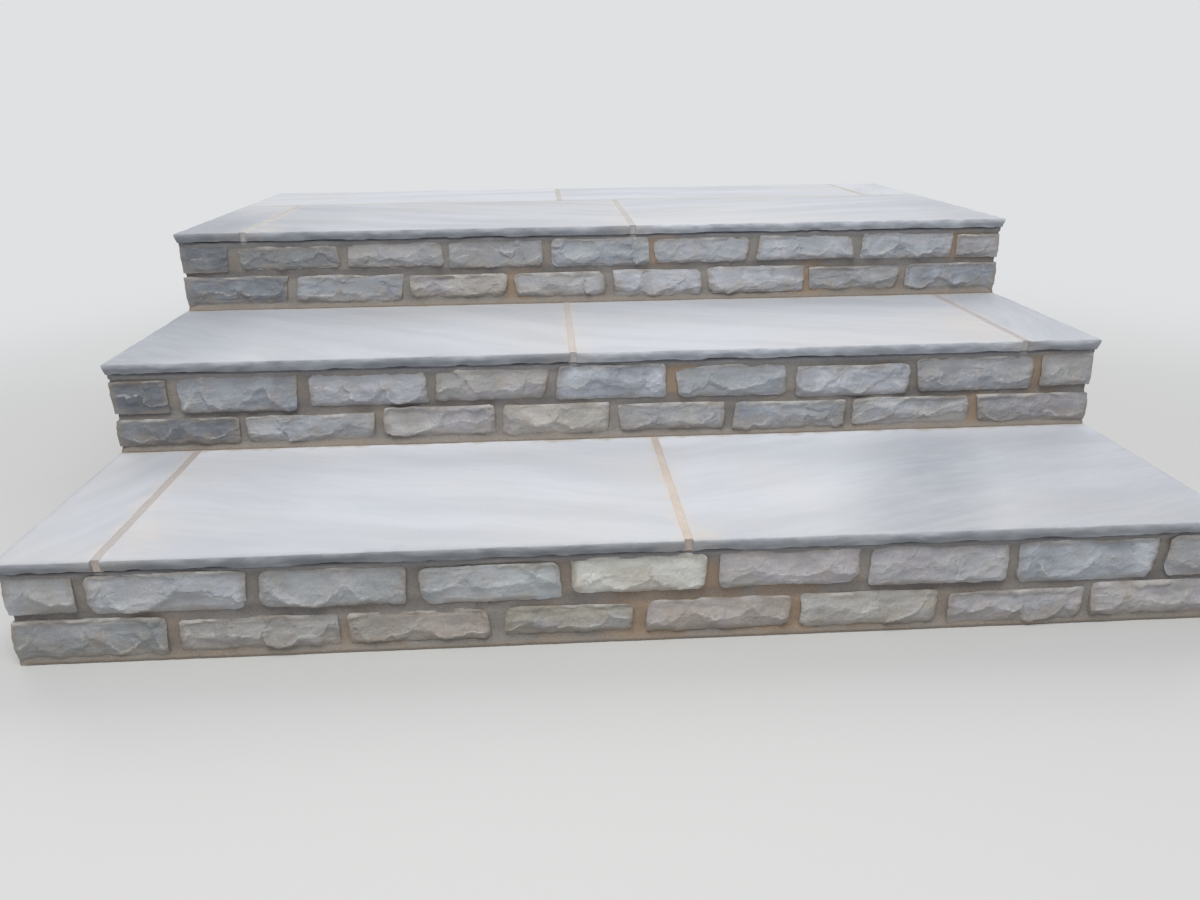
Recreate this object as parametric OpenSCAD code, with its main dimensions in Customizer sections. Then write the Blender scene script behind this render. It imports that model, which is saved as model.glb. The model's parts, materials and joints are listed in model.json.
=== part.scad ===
// Three garden steps of coursed split-faced walling with rubble infill and sandstone slab treads.
// Millimetres. X runs along the steps, Y climbs away from the viewer, Z is up.
// The origin is the centre of the footprint at ground level.

/* [Slabs] */
// Length of a full slab, along the step
slab_len = 900; // [700:1:1000]
// Depth of a full slab, front to back
slab_depth = 600; // [560:1:640]
// Length of the narrow slab that makes up each row
narrow_len = 150; // [100:1:300]
// Depth of the cut slabs in the back row of the landing
back_row_depth = 385; // [250:1:600]
// Thickness of the slabs
slab_t = 22; // [18:1:40]
// Gap between slabs, filled with pointing
slab_joint = 12; // [8:1:20]
// How far a hand-dressed slab edge leans back at its underside
edge_splay = 5; // [2:0.5:8]
// Height of the upright part of a hand-dressed slab edge, below its top
edge_face = 13; // [8:1:16]
// How far the pointing lies back from the slab faces
pointing_recess = 2; // [1:0.5:4]

/* [Steps] */
// Going, from one nosing to the next
going = 485; // [450:1:530]
// Overhang of a tread past the riser stones
nosing = 15; // [8:1:35]
// Overhang of the slabs past the side and back walls
side_overhang = 6; // [3:1:20]

/* [Walling] */
// Length of a walling stone
stone_len = 230; // [200:1:280]
// Length of a thin levelling stone
leveller_len = 265; // [180:1:350]
// Height of a walling stone
stone_h = 62; // [50:1:100]
// Courses of stones in one riser
courses = 2; // [1:1:3]
// Upright joint between stones
perp_joint = 18; // [10:1:24]
// Bed joint under the first course of a riser
base_bed = 9; // [5:1:15]
// Bed joint between two courses
bed_joint = 16; // [8:1:24]
// Mortar bed between the walls and the slabs
slab_bed = 12; // [6:1:20]
// How far the mortar lies back from the stone faces
rake = 8; // [4:1:12]
// Pitched margin round each stone, where its face is broken back to the joints
pitching = 5; // [2:0.5:8]

/* [Hidden] */

STEPS = 3;

// Widths: two full slabs, a narrow one and two joints make a row
tread_w = 2 * slab_len + narrow_len + 2 * slab_joint;
face_w = tread_w - 2 * side_overhang;
// A stone is half as deep as it is long, less half a joint, so that the corners bond
wall_t = (stone_len - perp_joint) / 2;

// Heights
course_stack = base_bed + courses * stone_h + (courses - 1) * bed_joint;
rise = course_stack + slab_bed + slab_t;
function level(step) = step * rise;

// Depths, from the foremost nosing
landing_depth = slab_depth + slab_joint + back_row_depth;
total_depth = (STEPS - 1) * going + landing_depth;
function nosing_y(step) = (step - 1) * going - total_depth / 2;
function face_y(step) = nosing_y(step) + nosing;
function slab_end_y(step) = nosing_y(step) + slab_depth;
back_face_y = total_depth / 2 - side_overhang;
function side_len(step) = back_face_y - face_y(step);

// Left ends of the slabs, for a row that starts or ends with the narrow slab
row_x = -tread_w / 2;
narrow_first = [row_x, row_x + narrow_len + slab_joint, row_x + narrow_len + slab_len + 2 * slab_joint];
narrow_last = [row_x, row_x + slab_len + slab_joint, row_x + 2 * (slab_len + slab_joint)];

// Stones that fill a row: a closed row has a stone at each end, an open one a joint
function stone_count(len, closed, usual_len) =
    max(1, round((len + (closed ? perp_joint : -perp_joint)) / (usual_len + perp_joint)));
function stone_fit(len, closed, usual_len) =
    let (n = stone_count(len, closed, usual_len)) (len - (closed ? n - 1 : n + 1) * perp_joint) / n;

// Outline of a pitched stone, across its face: the front corners are broken back
function pitched_outline(width, margin) = [
    [0, margin], [margin, 0], [width - margin, 0], [width, margin], [width, wall_t], [0, wall_t]
];

// One stone with its pitched face on y = 0
module stone(len, height) {
    margin = min(pitching, height / 4);
    intersection() {
        linear_extrude(height)
            polygon(pitched_outline(len, margin));
        translate([len, 0, 0])
            rotate([0, -90, 0])
                linear_extrude(len)
                    polygon(pitched_outline(height, margin));
    }
}

// One course along X, its outer face on y = 0: stones on a mortar bed, with the mortar raked back
module course(len, closed, bed, height, usual_len) {
    fit = stone_fit(len, closed, usual_len);
    pitch = fit + perp_joint;
    inset = closed ? rake : 0;
    translate([inset, rake, 0])
        cube([len - 2 * inset, wall_t - rake, bed + height]);
    for (i = [0 : stone_count(len, closed, usual_len) - 1])
        translate([(closed ? 0 : perp_joint) + i * pitch, 0, bed])
            stone(fit, height);
}

// Courses of one riser along X. Even courses reach the corners where even_closed is true, odd ones where not
module courses_up(len, even_closed) {
    for (c = [0 : courses - 1]) {
        closed = (c % 2 == 0) == even_closed;
        bed = c == 0 ? base_bed : bed_joint;
        z = c == 0 ? 0 : base_bed + c * stone_h + (c - 1) * bed_joint;
        translate([closed ? 0 : wall_t, 0, z])
            course(closed ? len : len - 2 * wall_t, closed, bed, stone_h, stone_len);
    }
}

// Mortar and stone tails behind the faces, which tie the courses of a wall along X together
module hearting(len, height) {
    translate([wall_t, rake, 0])
        cube([len - 2 * wall_t, wall_t - rake, height]);
}

// Thin course of slab offcuts that brings a wall up to the next tread level, along X
module levelling_course(len, closed) {
    course(len, closed, slab_bed, slab_t, leveller_len);
}

module front_wall(step) {
    color([0.55, 0.57, 0.60])
        translate([-face_w / 2, face_y(step), level(step - 1)]) {
            courses_up(face_w, true);
            hearting(face_w, course_stack);
        }
}

// Swaps X and Y, so that a course runs back from its riser along the left side
module along_left_side(y, z) {
    translate([-face_w / 2, y, z])
        mirror([1, -1, 0])
            children();
}

module left_wall(step) {
    color([0.53, 0.55, 0.58])
        along_left_side(face_y(step), level(step - 1)) {
            courses_up(side_len(step), false);
            hearting(side_len(step), course_stack);
        }
}

module right_wall(step) {
    mirror([1, 0, 0])
        left_wall(step);
}

module left_levelling_course(step) {
    color([0.66, 0.68, 0.70])
        along_left_side(slab_end_y(step), level(step) - slab_t - slab_bed)
            levelling_course(back_face_y - wall_t - slab_end_y(step), false);
}

module right_levelling_course(step) {
    mirror([1, 0, 0])
        left_levelling_course(step);
}

module back_wall() {
    color([0.53, 0.55, 0.58])
        translate([-face_w / 2, back_face_y, 0])
            mirror([0, 1, 0]) {
                for (step = [1 : STEPS])
                    translate([0, 0, level(step - 1)])
                        courses_up(face_w, true);
                for (step = [1 : STEPS - 1])
                    translate([0, 0, level(step) - slab_t - slab_bed])
                        levelling_course(face_w, true);
                hearting(face_w, level(STEPS - 1) + course_stack);
            }
}

// Rubble and mortar packed between the walls, brought up to tread level behind the slabs
module infill(step) {
    front = face_y(step) + wall_t;
    back = back_face_y - wall_t;
    behind = slab_end_y(step);
    top = course_stack;
    profile = step < STEPS
        ? [[front, 0], [back, 0], [back, rise], [behind, rise], [behind, top], [front, top]]
        : [[front, 0], [back, 0], [back, top], [front, top]];
    color([0.50, 0.47, 0.43])
        translate([wall_t - face_w / 2, 0, level(step - 1)])
            rotate([90, 0, 90])
                linear_extrude(face_w - 2 * wall_t)
                    polygon(profile);
}

module bed_under_slabs(step) {
    front = face_y(step) + rake;
    back = step < STEPS ? slab_end_y(step) : back_face_y - rake;
    color([0.62, 0.53, 0.42])
        translate([rake - face_w / 2, front, level(step - 1) + course_stack])
            cube([face_w - 2 * rake, back - front, slab_bed]);
}

// Outline of a slab across one direction: an exposed end is upright, then leans back to its underside
function slab_outline(len, dressed_start, dressed_end) = concat(
    [[dressed_start ? edge_splay : 0, 0], [len - (dressed_end ? edge_splay : 0), 0]],
    dressed_end ? [[len, slab_t - edge_face]] : [],
    [[len, slab_t], [0, slab_t]],
    dressed_start ? [[0, slab_t - edge_face]] : []
);

// dressed says which edges show: left, right, front, back
module slab(x, y, z, len, depth, dressed) {
    color([0.80, 0.82, 0.85])
        translate([x, y, z])
            intersection() {
                rotate([90, 0, 90])
                    linear_extrude(len)
                        polygon(slab_outline(depth, dressed[2], dressed[3]));
                translate([0, depth, 0])
                    rotate([90, 0, 0])
                        linear_extrude(depth)
                            polygon(slab_outline(len, dressed[0], dressed[1]));
            }
}

// Slab of a tread row by its place from the left, 0 to 2
module tread_slab(step, starts, place, len) {
    slab(starts[place], nosing_y(step), level(step) - slab_t, len, slab_depth,
        [place == 0, place == 2, true, false]);
}

module landing_slab(place, len) {
    slab(narrow_last[place], slab_end_y(STEPS) + slab_joint, level(STEPS) - slab_t,
        len, back_row_depth, [place == 0, place == 2, false, true]);
}

// Pointing in the two cross joints of a row of slabs
module row_pointing(starts, y_front, y_back, z) {
    color([0.76, 0.62, 0.48])
        for (i = [1, 2])
            translate([starts[i] - slab_joint, y_front, z])
                cube([slab_joint, y_back - y_front, slab_t - pointing_recess]);
}

module tread_pointing(step, starts) {
    row_pointing(starts, nosing_y(step) + edge_splay, slab_end_y(step), level(step) - slab_t);
}

module landing_pointing() {
    row_pointing(narrow_last, slab_end_y(STEPS) + slab_joint, total_depth / 2 - edge_splay,
        level(STEPS) - slab_t);
}

// Pointing of the long joint between the top tread and the row behind it
module landing_long_pointing() {
    color([0.76, 0.62, 0.48])
        translate([row_x + edge_splay, slab_end_y(STEPS), level(STEPS) - slab_t])
            cube([tread_w - 2 * edge_splay, slab_joint, slab_t - pointing_recess]);
}

front_wall(1);  // step1_front_wall
left_wall(1);  // step1_left_wall
right_wall(1);  // step1_right_wall
infill(1);  // step1_infill
bed_under_slabs(1);  // step1_slab_bed
tread_slab(1, narrow_first, 0, narrow_len);  // step1_slab_narrow
tread_slab(1, narrow_first, 1, slab_len);  // step1_slab_left
tread_slab(1, narrow_first, 2, slab_len);  // step1_slab_right
tread_pointing(1, narrow_first);  // step1_pointing
left_levelling_course(1);  // step1_left_levelling_course
right_levelling_course(1);  // step1_right_levelling_course
front_wall(2);  // step2_front_wall
left_wall(2);  // step2_left_wall
right_wall(2);  // step2_right_wall
infill(2);  // step2_infill
bed_under_slabs(2);  // step2_slab_bed
tread_slab(2, narrow_last, 0, slab_len);  // step2_slab_left
tread_slab(2, narrow_last, 1, slab_len);  // step2_slab_right
tread_slab(2, narrow_last, 2, narrow_len);  // step2_slab_narrow
tread_pointing(2, narrow_last);  // step2_pointing
left_levelling_course(2);  // step2_left_levelling_course
right_levelling_course(2);  // step2_right_levelling_course
front_wall(3);  // step3_front_wall
left_wall(3);  // step3_left_wall
right_wall(3);  // step3_right_wall
infill(3);  // step3_infill
bed_under_slabs(3);  // step3_slab_bed
tread_slab(3, narrow_first, 0, narrow_len);  // step3_slab_narrow
tread_slab(3, narrow_first, 1, slab_len);  // step3_slab_left
tread_slab(3, narrow_first, 2, slab_len);  // step3_slab_right
tread_pointing(3, narrow_first);  // step3_pointing
landing_slab(0, slab_len);  // landing_slab_left
landing_slab(1, slab_len);  // landing_slab_right
landing_slab(2, narrow_len);  // landing_slab_narrow
landing_pointing();
landing_long_pointing();
back_wall();
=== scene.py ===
import json
import math
import random
from functools import partial
import bpy
from mathutils import Matrix, Vector, noise
from mathutils.geometry import delaunay_2d_cdt

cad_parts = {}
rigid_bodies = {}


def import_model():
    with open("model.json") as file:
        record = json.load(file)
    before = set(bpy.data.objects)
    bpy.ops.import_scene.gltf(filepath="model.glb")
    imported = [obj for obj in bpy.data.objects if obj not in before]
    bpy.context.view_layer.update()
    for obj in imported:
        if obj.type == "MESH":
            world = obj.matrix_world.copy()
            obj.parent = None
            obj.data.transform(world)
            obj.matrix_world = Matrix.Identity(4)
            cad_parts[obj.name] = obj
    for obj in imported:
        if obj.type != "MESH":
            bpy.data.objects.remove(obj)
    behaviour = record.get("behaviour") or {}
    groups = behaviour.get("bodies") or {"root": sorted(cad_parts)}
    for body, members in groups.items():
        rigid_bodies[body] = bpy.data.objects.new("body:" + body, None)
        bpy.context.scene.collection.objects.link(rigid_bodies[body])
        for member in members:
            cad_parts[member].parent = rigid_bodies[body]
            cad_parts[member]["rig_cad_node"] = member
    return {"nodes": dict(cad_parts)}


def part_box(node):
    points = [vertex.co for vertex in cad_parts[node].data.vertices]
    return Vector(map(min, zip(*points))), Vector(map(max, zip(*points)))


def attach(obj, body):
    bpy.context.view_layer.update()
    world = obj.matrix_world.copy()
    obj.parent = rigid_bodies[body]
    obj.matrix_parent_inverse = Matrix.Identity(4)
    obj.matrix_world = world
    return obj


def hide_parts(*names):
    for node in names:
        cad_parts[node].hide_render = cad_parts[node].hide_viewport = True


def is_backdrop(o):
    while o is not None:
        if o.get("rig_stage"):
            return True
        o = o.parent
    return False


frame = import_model()
for spare in list(bpy.data.objects):  # whatever the start file holds
    if spare.type in ("MESH", "LIGHT", "CAMERA") and "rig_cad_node" not in spare:
        bpy.data.objects.remove(spare)
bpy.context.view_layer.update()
print("frame loaded,", len(frame["nodes"]), "CAD nodes")

mm = 0.001
modeNames = {
    "Math": "operation", "VectorMath": "operation", "Mix": "data_type", "MapRange": "interpolation_type",
}


def hexColour(code):  # sRGB hex to the linear colour that Blender's sockets take
    parts = [int(code[i:i + 2], 16) / 255 for i in (1, 3, 5)]
    return tuple(c / 12.92 if c <= 0.04045 else ((c + 0.055) / 1.055) ** 2.4 for c in parts) + (1.0,)


def addNode(tree, kind, *values, **settings):
    # One node, with its mode after its kind, as in "Math ADD". Values and links go to its sockets in order:
    # noise takes place, scale, detail, roughness; a map range takes its value, from where to where, to what
    kind, _, mode = kind.partition(" ")
    node = tree.nodes.new(kind if "Node" in kind else "ShaderNode" + kind)
    if mode:
        settings[modeNames[kind]] = mode
    for name, value in settings.items():
        setattr(node, name, value)
    sockets = [s for s in node.inputs if s.enabled]
    byName = values and isinstance(values[0], dict)
    for name, value in values[0].items() if byName else enumerate(values):
        socket = node.inputs[name] if byName else sockets[name]
        if isinstance(value, bpy.types.Node):
            value = next(s for s in value.outputs if s.enabled)
        if isinstance(value, str) and value.startswith("#"):
            value = hexColour(value)
        if isinstance(value, bpy.types.NodeSocket):
            tree.links.new(value, socket)
        else:
            socket.default_value = value
    return node


def newMaterial(name):  # an empty material, and what adds a node to it
    material = bpy.data.materials.new(name)
    material.use_nodes = True
    material.node_tree.nodes.clear()
    return material, partial(addNode, material.node_tree)


def newShape(name, inputs):  # an empty Geometry Nodes tree, what adds a node to it, and its named inputs
    tree = bpy.data.node_groups.new(name, "GeometryNodeTree")
    for label, kind in inputs.items():
        tree.interface.new_socket(label, in_out="INPUT", socket_type="NodeSocket" + kind)
    tree.interface.new_socket("Result", in_out="OUTPUT", socket_type="NodeSocketGeometry")
    add = partial(addNode, tree)
    return tree, add, add("NodeGroupInput").outputs


def drift(add, *look):  # noise round zero, in three directions
    return add("VectorMath SUBTRACT", add("TexNoise", *look).outputs["Color"], (0.5, 0.5, 0.5))


def finishMaterial(add, colour, roughness, ior, specular, *relief):  # each layer: height, distance, strength
    look = {"Base Color": colour, "Roughness": roughness, "IOR": ior, "Specular IOR Level": specular}
    for height, distance, strength in relief:
        bump = {"Height": height, "Distance": distance, "Strength": strength}
        if "Normal" in look:
            bump["Normal"] = look["Normal"]
        look["Normal"] = add("Bump", bump)
    add("OutputMaterial", {"Surface": add("BsdfPrincipled", look)})


def linked(name, data):  # a new object at the origin, in the scene
    piece = bpy.data.objects.new(name, data)
    bpy.context.scene.collection.objects.link(piece)
    return piece


def smooth(t):  # eases from 0 to 1
    t = min(1.0, max(0.0, t))
    return t * t * (3 - 2 * t)


def storeOn(mesh, name, kind, values):  # a point attribute
    attribute = mesh.attributes.new(name, kind, "POINT")
    field = {"FLOAT_VECTOR": "vector", "FLOAT_COLOR": "color"}.get(kind, "value")
    attribute.data.foreach_set(field, list(values) if field == "value" else [c for v in values for c in v])


# Camera, light and floor
view = {
    "lens": 29.36,  # mm, on a 36 mm sensor
    "place": (-0.1335, -2.3652, 0.8419),
    "turn": 3.161, "down": 19.989, "roll": -0.688,  # degrees
}
cameraData = bpy.data.cameras.new("photo view")
cameraData.lens = view["lens"]
cameraData.sensor_width = 36
cameraData.clip_end = 200
camera = linked("photo view", cameraData)
camera.matrix_world = (
    Matrix.Translation(view["place"])
    @ Matrix.Rotation(-math.radians(view["turn"]), 4, "Z")
    @ Matrix.Rotation(math.pi / 2 - math.radians(view["down"]), 4, "X")
    @ Matrix.Rotation(math.radians(view["roll"]), 4, "Z")
)
bpy.context.scene.camera = camera
bpy.context.scene.view_settings.view_transform = "Standard"

studio = {
    "dome": 0.34,  # strength of the sky
    "skyColour": "#F4F7FF", "backdrop": "#DFE1E3", "floor": "#D2D3D3", "lampColour": "#FFFDF8",
    "softboxes": [  # name, place, size in metres, watts, whether it may shine on the slabs
        ("front softbox", (-0.4, -2.5, 4.0), 2.4, 132, True),
        ("back softbox", (0.8, 2.5, 4.0), 3.0, 60, True),
        ("back left softbox", (-3.6, 2.6, 1.9), 2.0, 34, False),
        ("back right softbox", (3.6, 2.6, 1.9), 2.0, 34, False),
    ],
}
world = bpy.data.worlds.new("soft sky")
world.use_nodes = True
world.node_tree.nodes.clear()
add = partial(addNode, world.node_tree)
paths = add("LightPath").outputs
seen = add("Math MAXIMUM", paths["Is Camera Ray"], paths["Is Glossy Ray"])
dome = add("Background", studio["skyColour"], studio["dome"])
backdrop = add("Background", studio["backdrop"], 1.0)
add("OutputWorld", {"Surface": add("MixShader", seen, dome, backdrop)})
bpy.context.scene.world = world

for name, spot, size, watts, shines in studio["softboxes"]:
    lampData = bpy.data.lights.new(name, "AREA")
    lampData.shape = "SQUARE"
    lampData.size = size
    lampData.energy = watts
    lampData.color = hexColour(studio["lampColour"])[:3]
    lamp = linked(name, lampData)
    aim = (Vector((0, 0, 0.2)) - Vector(spot)).to_track_quat("-Z", "Y")
    lamp.matrix_world = Matrix.Translation(spot) @ aim.to_matrix().to_4x4()
    lamp.visible_glossy = shines

# a disc of 14 m radius, half a millimetre under the part
rim = [(14 * math.cos(k * math.pi / 48), 14 * math.sin(k * math.pi / 48), -0.0005) for k in range(96)]
floorMesh = bpy.data.meshes.new("floor")
floorMesh.from_pydata(rim, [], [list(range(96))])
floor = linked("floor", floorMesh)
floorPaint, add = newMaterial("plain pale floor paint")  # matt, so no reflection competes with the part
away = add("VectorMath LENGTH", add("TexCoord").outputs["Object"])
fade = add("MapRange SMOOTHERSTEP", away, 1.1, 3.4)  # metres from the middle: here it fades into the backdrop
matt = add("BsdfPrincipled", {"Base Color": studio["floor"], "Roughness": 0.9, "Specular IOR Level": 0.2})
glow = add("Emission", studio["backdrop"], 1.0)
faded = add("Math MULTIPLY", fade, add("LightPath").outputs["Is Camera Ray"])
add("OutputMaterial", {"Surface": add("MixShader", faded, matt, glow)})
floorMesh.materials.append(floorPaint)
floor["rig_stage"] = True
print("camera, light and floor")


# Riven grey sandstone: split along its bedding, so matt, softly rippled, with wavy bands where its beds show
slabLook = {
    "pale": "#D3D7DF", "grey": "#C8CCD4", "blue": "#BDC2CD", "buff": "#D7D3CF",  # the bands on top
    "edge": "#C0C4CB", "edgeDark": "#A4A8B0", "chip": "#CDD1D7", "paintedShadeUnderBrow": "#85898F",  # the dressed edges, with painted shade below their brow
    "joint": "#AFAAA6", "stain": "#D5CBC4", "sand": "#C3B9AD", "patch": "#ACB0B9",  # mortar, sand, and darker patches that are mostly painted shade
    "waves": 312.5 * mm, "clouds": 476.2 * mm, "bandWidth": 38 * mm,  # of the bedding
    "blots": 38.46 * mm, "flakes": 16.667 * mm, "chips": 23.81 * mm,
    "grain": 1.4 * mm,  # the real grain is 0.2 mm, drawn coarser so that it shows
}
slabStone, add = newMaterial("riven grey sandstone paving")
place = add("TexCoord").outputs["Object"]
bedding = add("Attribute", attribute_name="bedding").outputs["Vector"]
# what each slab's mesh is marked with; the last two are metres from a joint and from the next riser
tone, edgeTone, dressed, under, patch, leftOn, joint, foot = [
    add("Attribute", attribute_name=name).outputs["Fac"] for name in (
        "slabTone", "edgeTone", "dressed", "paintedShadeUnderBrow", "paintedShadeAndPatch", "mortarSmear", "jointEdge", "riserFoot")]
waves = drift(add, bedding, 1 / slabLook["waves"], 3.0)
warped = add("VectorMath MULTIPLY_ADD", waves, (0.09, 0.09, 0.09), bedding)
stretched = add("VectorMath MULTIPLY", warped, (0.16, 1.0, 1.0))
bands = add("TexNoise", stretched, 0.42 / slabLook["bandWidth"], 4.0, 0.52)
streaks = add("TexNoise", stretched, 2.3 / slabLook["bandWidth"], 5.0, 0.6)
clouds = add("TexNoise", warped, 1 / slabLook["clouds"], 2.0)
bandMask = add("MapRange SMOOTHSTEP", bands, 0.36, 0.66)
streakMask = add("MapRange", streaks, 0.48, 0.78)
cloudMask = add("MapRange SMOOTHSTEP", clouds, 0.42, 0.70)
body = add("Mix RGBA", bandMask, slabLook["pale"], slabLook["grey"])
streaked = add("Mix RGBA", add("Math MULTIPLY", streakMask, 0.28), body, slabLook["blue"])
clouded = add("Mix RGBA", add("Math MULTIPLY", cloudMask, 0.28), streaked, slabLook["buff"])
# painted shade of shrubs towards the steps' ends, and a blue-grey patch, both streaked
patchShare = add("Math MULTIPLY", patch, add("MapRange", streaks, 0.36, 0.62, 0.80, 1.08))
patched = add("Mix RGBA", patchShare, clouded, slabLook["patch"])
# painted light: each slab's tone is lifted towards its back, against the shade near the next riser and the
# lamps' fall-off
toned = add("VectorMath SCALE", patched, add("Math ADD", tone, 1.0))
blot = add("TexNoise", place, 1 / slabLook["blots"], 4.0)
blotWide = add("Math MULTIPLY_ADD", blot, 0.060, -0.021)
stainMask = add("MapRange SMOOTHSTEP", add("Math SUBTRACT", joint, blotWide), -0.014, 0.012, 0.42, 0.0)
leftShare = add("Math MULTIPLY", add("Math MULTIPLY_ADD", blot, 1.6, -0.25, use_clamp=True), leftOn)
stained = add("Mix RGBA", add("Math MAXIMUM", stainMask, leftShare), toned, slabLook["stain"])
sandMask = add("MapRange SMOOTHSTEP", add("Math SUBTRACT", foot, blotWide), -0.014, 0.010, 0.8, 0.0)
sanded = add("Mix RGBA", sandMask, stained, slabLook["sand"])
alongEdge = add("VectorMath MULTIPLY", place, (0.35, 0.35, 1.0))
flakes = add("TexNoise", alongEdge, 1 / slabLook["flakes"], 5.0)
flakeMask = add("MapRange", flakes, 0.35, 0.65)
edgeColour = add("Mix RGBA", flakeMask, slabLook["edge"], slabLook["edgeDark"])
chips = add("TexNoise", alongEdge, 1 / slabLook["chips"], 4.0)
chipMask = add("MapRange", chips, 0.54, 0.64, 0.0, 0.8)
chipped = add("Mix RGBA", chipMask, edgeColour, slabLook["chip"])
# painted shade: the dressed edges darken below their brow, where the light from above falls short
underShade = add("Math MULTIPLY", add("MapRange", flakes, 0.3, 0.7, 0.55, 1.0), under)
browed = add("Mix RGBA", underShade, chipped, slabLook["paintedShadeUnderBrow"])
smearShare = add("Math SUBTRACT", add("Math MULTIPLY_ADD", blot, 0.16, -0.055), joint)
smearMask = add("MapRange SMOOTHSTEP", smearShare, -0.040, 0.010, 0.0, 0.42)
edgeColour = add("Mix RGBA", smearMask, browed, slabLook["joint"])
edgeToned = add("VectorMath SCALE", edgeColour, add("Math ADD", edgeTone, 1.0))
surface = add("Mix RGBA", dressed, sanded, edgeToned)
grain = add("TexNoise", place, 0.5 / slabLook["grain"], 3.0)
grainShade = add("MapRange", grain, 0.3, 0.7, 0.965, 1.03)
grained = add("VectorMath SCALE", surface, grainShade)
ripples = add("Math MULTIPLY_ADD", streaks, 0.5, bands)
roughness = add("MapRange", bands, 0.3, 0.7, 0.52, 0.70)
edgeRelief = add("Math MULTIPLY", flakes, dressed)
finishMaterial(add, grained, roughness, 1.5, 0.22,
    (ripples, 2.2 * mm, 0.5), (edgeRelief, 5.0 * mm, 0.6), (grain, 0.5 * mm, 0.35))

# Split sandstone walling: pitched by hammer, so crisp flake scars with bruised, paler ridges between them
stoneLook = {
    # the hollow colour is painted shade for the deepest cuts of the faces
    "ridge": "#DADAD7", "hollow": "#7A7876", "warm": "#B5A48F", "smear": "#948A7F",
    "mottle": 52.63 * mm, "otherTone": 90.91 * mm, "warmth": 32.26 * mm, "layer": 6.667 * mm,
    "flake": 10.526 * mm, "grain": 1.6 * mm,
    "rise": 183 * mm,  # from tread to tread, as dirt splashes up from each
}


def wallingMaterial(name):
    material, add = newMaterial(name)
    place = add("TexCoord").outputs["Object"]
    tint, otherTint = [add("Attribute", attribute_name=n).outputs["Color"] for n in ("tint", "otherTint")]
    ridge, hollow, facet, smear = [
        add("Attribute", attribute_name=n).outputs["Fac"] for n in ("ridge", "hollow", "facetShade", "smear")]
    mottle = add("TexNoise", place, 1 / stoneLook["mottle"], 4.0)
    mottle = add("MapRange", mottle, 0.3, 0.7, 0.86, 1.12)
    mottle = add("Math MULTIPLY", mottle, add("MapRange", facet, 0.0, 1.0, 0.92, 1.08))
    otherMask = add("TexNoise", place, 1 / stoneLook["otherTone"], 3.0)
    otherMask = add("MapRange SMOOTHSTEP", otherMask, 0.44, 0.60, 0.0, 0.75)
    drifted = add("Mix RGBA", otherMask, tint, otherTint)
    layers = add("VectorMath MULTIPLY", place, (0.16, 0.16, 1.0))
    layers = add("TexNoise", layers, 1 / stoneLook["layer"], 3.0, 0.6)
    mottle = add("Math MULTIPLY", mottle, add("MapRange", layers, 0.3, 0.7, 0.94, 1.06))
    mottled = add("VectorMath SCALE", drifted, mottle)
    warmNoise = add("TexNoise", place, 1 / stoneLook["warmth"], 3.0)
    warmMask = add("MapRange", warmNoise, 0.52, 0.74, 0.0, 0.26)
    warmed = add("Mix RGBA", warmMask, mottled, stoneLook["warm"])
    # painted shade: darker where the face is cut deepest
    hollowMask = add("MapRange", hollow, 0.35, 0.95, 0.0, 0.36)
    hollowed = add("Mix RGBA", hollowMask, warmed, stoneLook["hollow"])
    smeared = add("Mix RGBA", smear, hollowed, stoneLook["smear"])
    overStep = add("Math MODULO", add("SeparateXYZ", place).outputs["Z"], stoneLook["rise"])
    splashed = add("Math SUBTRACT", add("Math MULTIPLY_ADD", warmNoise, 0.085, -0.012), overStep)
    dirtMask = add("MapRange SMOOTHSTEP", splashed, -0.018, 0.020, 0.0, 0.45)
    dirty = add("Mix RGBA", dirtMask, smeared, stoneLook["smear"])
    # the pale ridge colour also carries the painted highlight along the stones' top edges
    ridged = add("Mix RGBA", add("Math MULTIPLY", ridge, 0.64), dirty, stoneLook["ridge"])
    grain = add("TexNoise", place, 0.5 / stoneLook["grain"], 4.0)
    flake = add("TexNoise", place, 1 / stoneLook["flake"], 3.0)
    grained = add("VectorMath SCALE", ridged, add("MapRange", grain, 0.3, 0.7, 0.93, 1.07))
    finishMaterial(add, grained, 0.78, 1.5, 0.3,
        (layers, 1.6 * mm, 0.5), (flake, 2.5 * mm, 0.5), (grain, 0.6 * mm, 0.5))
    return material


wallingStone = wallingMaterial("pitched sandstone walling")
levellingStone = wallingMaterial("split sandstone offcuts")

mortarLook = {"clouds": 71.43 * mm, "rustPatches": 111.11 * mm, "lumps": 7.692 * mm}
rustSpots = [  # where iron in the sand has stained the mortar: middle, radius
    ((0.02, -0.966, 0.040), 0.085), ((0.245, -0.966, 0.045), 0.080), ((0.125, -0.966, 0.085), 0.060),
    ((-0.19, 0.002, 0.410), 0.055), ((0.516, 0.002, 0.410), 0.060), ((0.149, 0.002, 0.490), 0.055),
    ((0.885, 0.002, 0.490), 0.055), ((0.137, -0.482, 0.300), 0.045), ((0.881, -0.482, 0.300), 0.060),
    ((0.742, -0.482, 0.225), 0.045),
]


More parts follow.
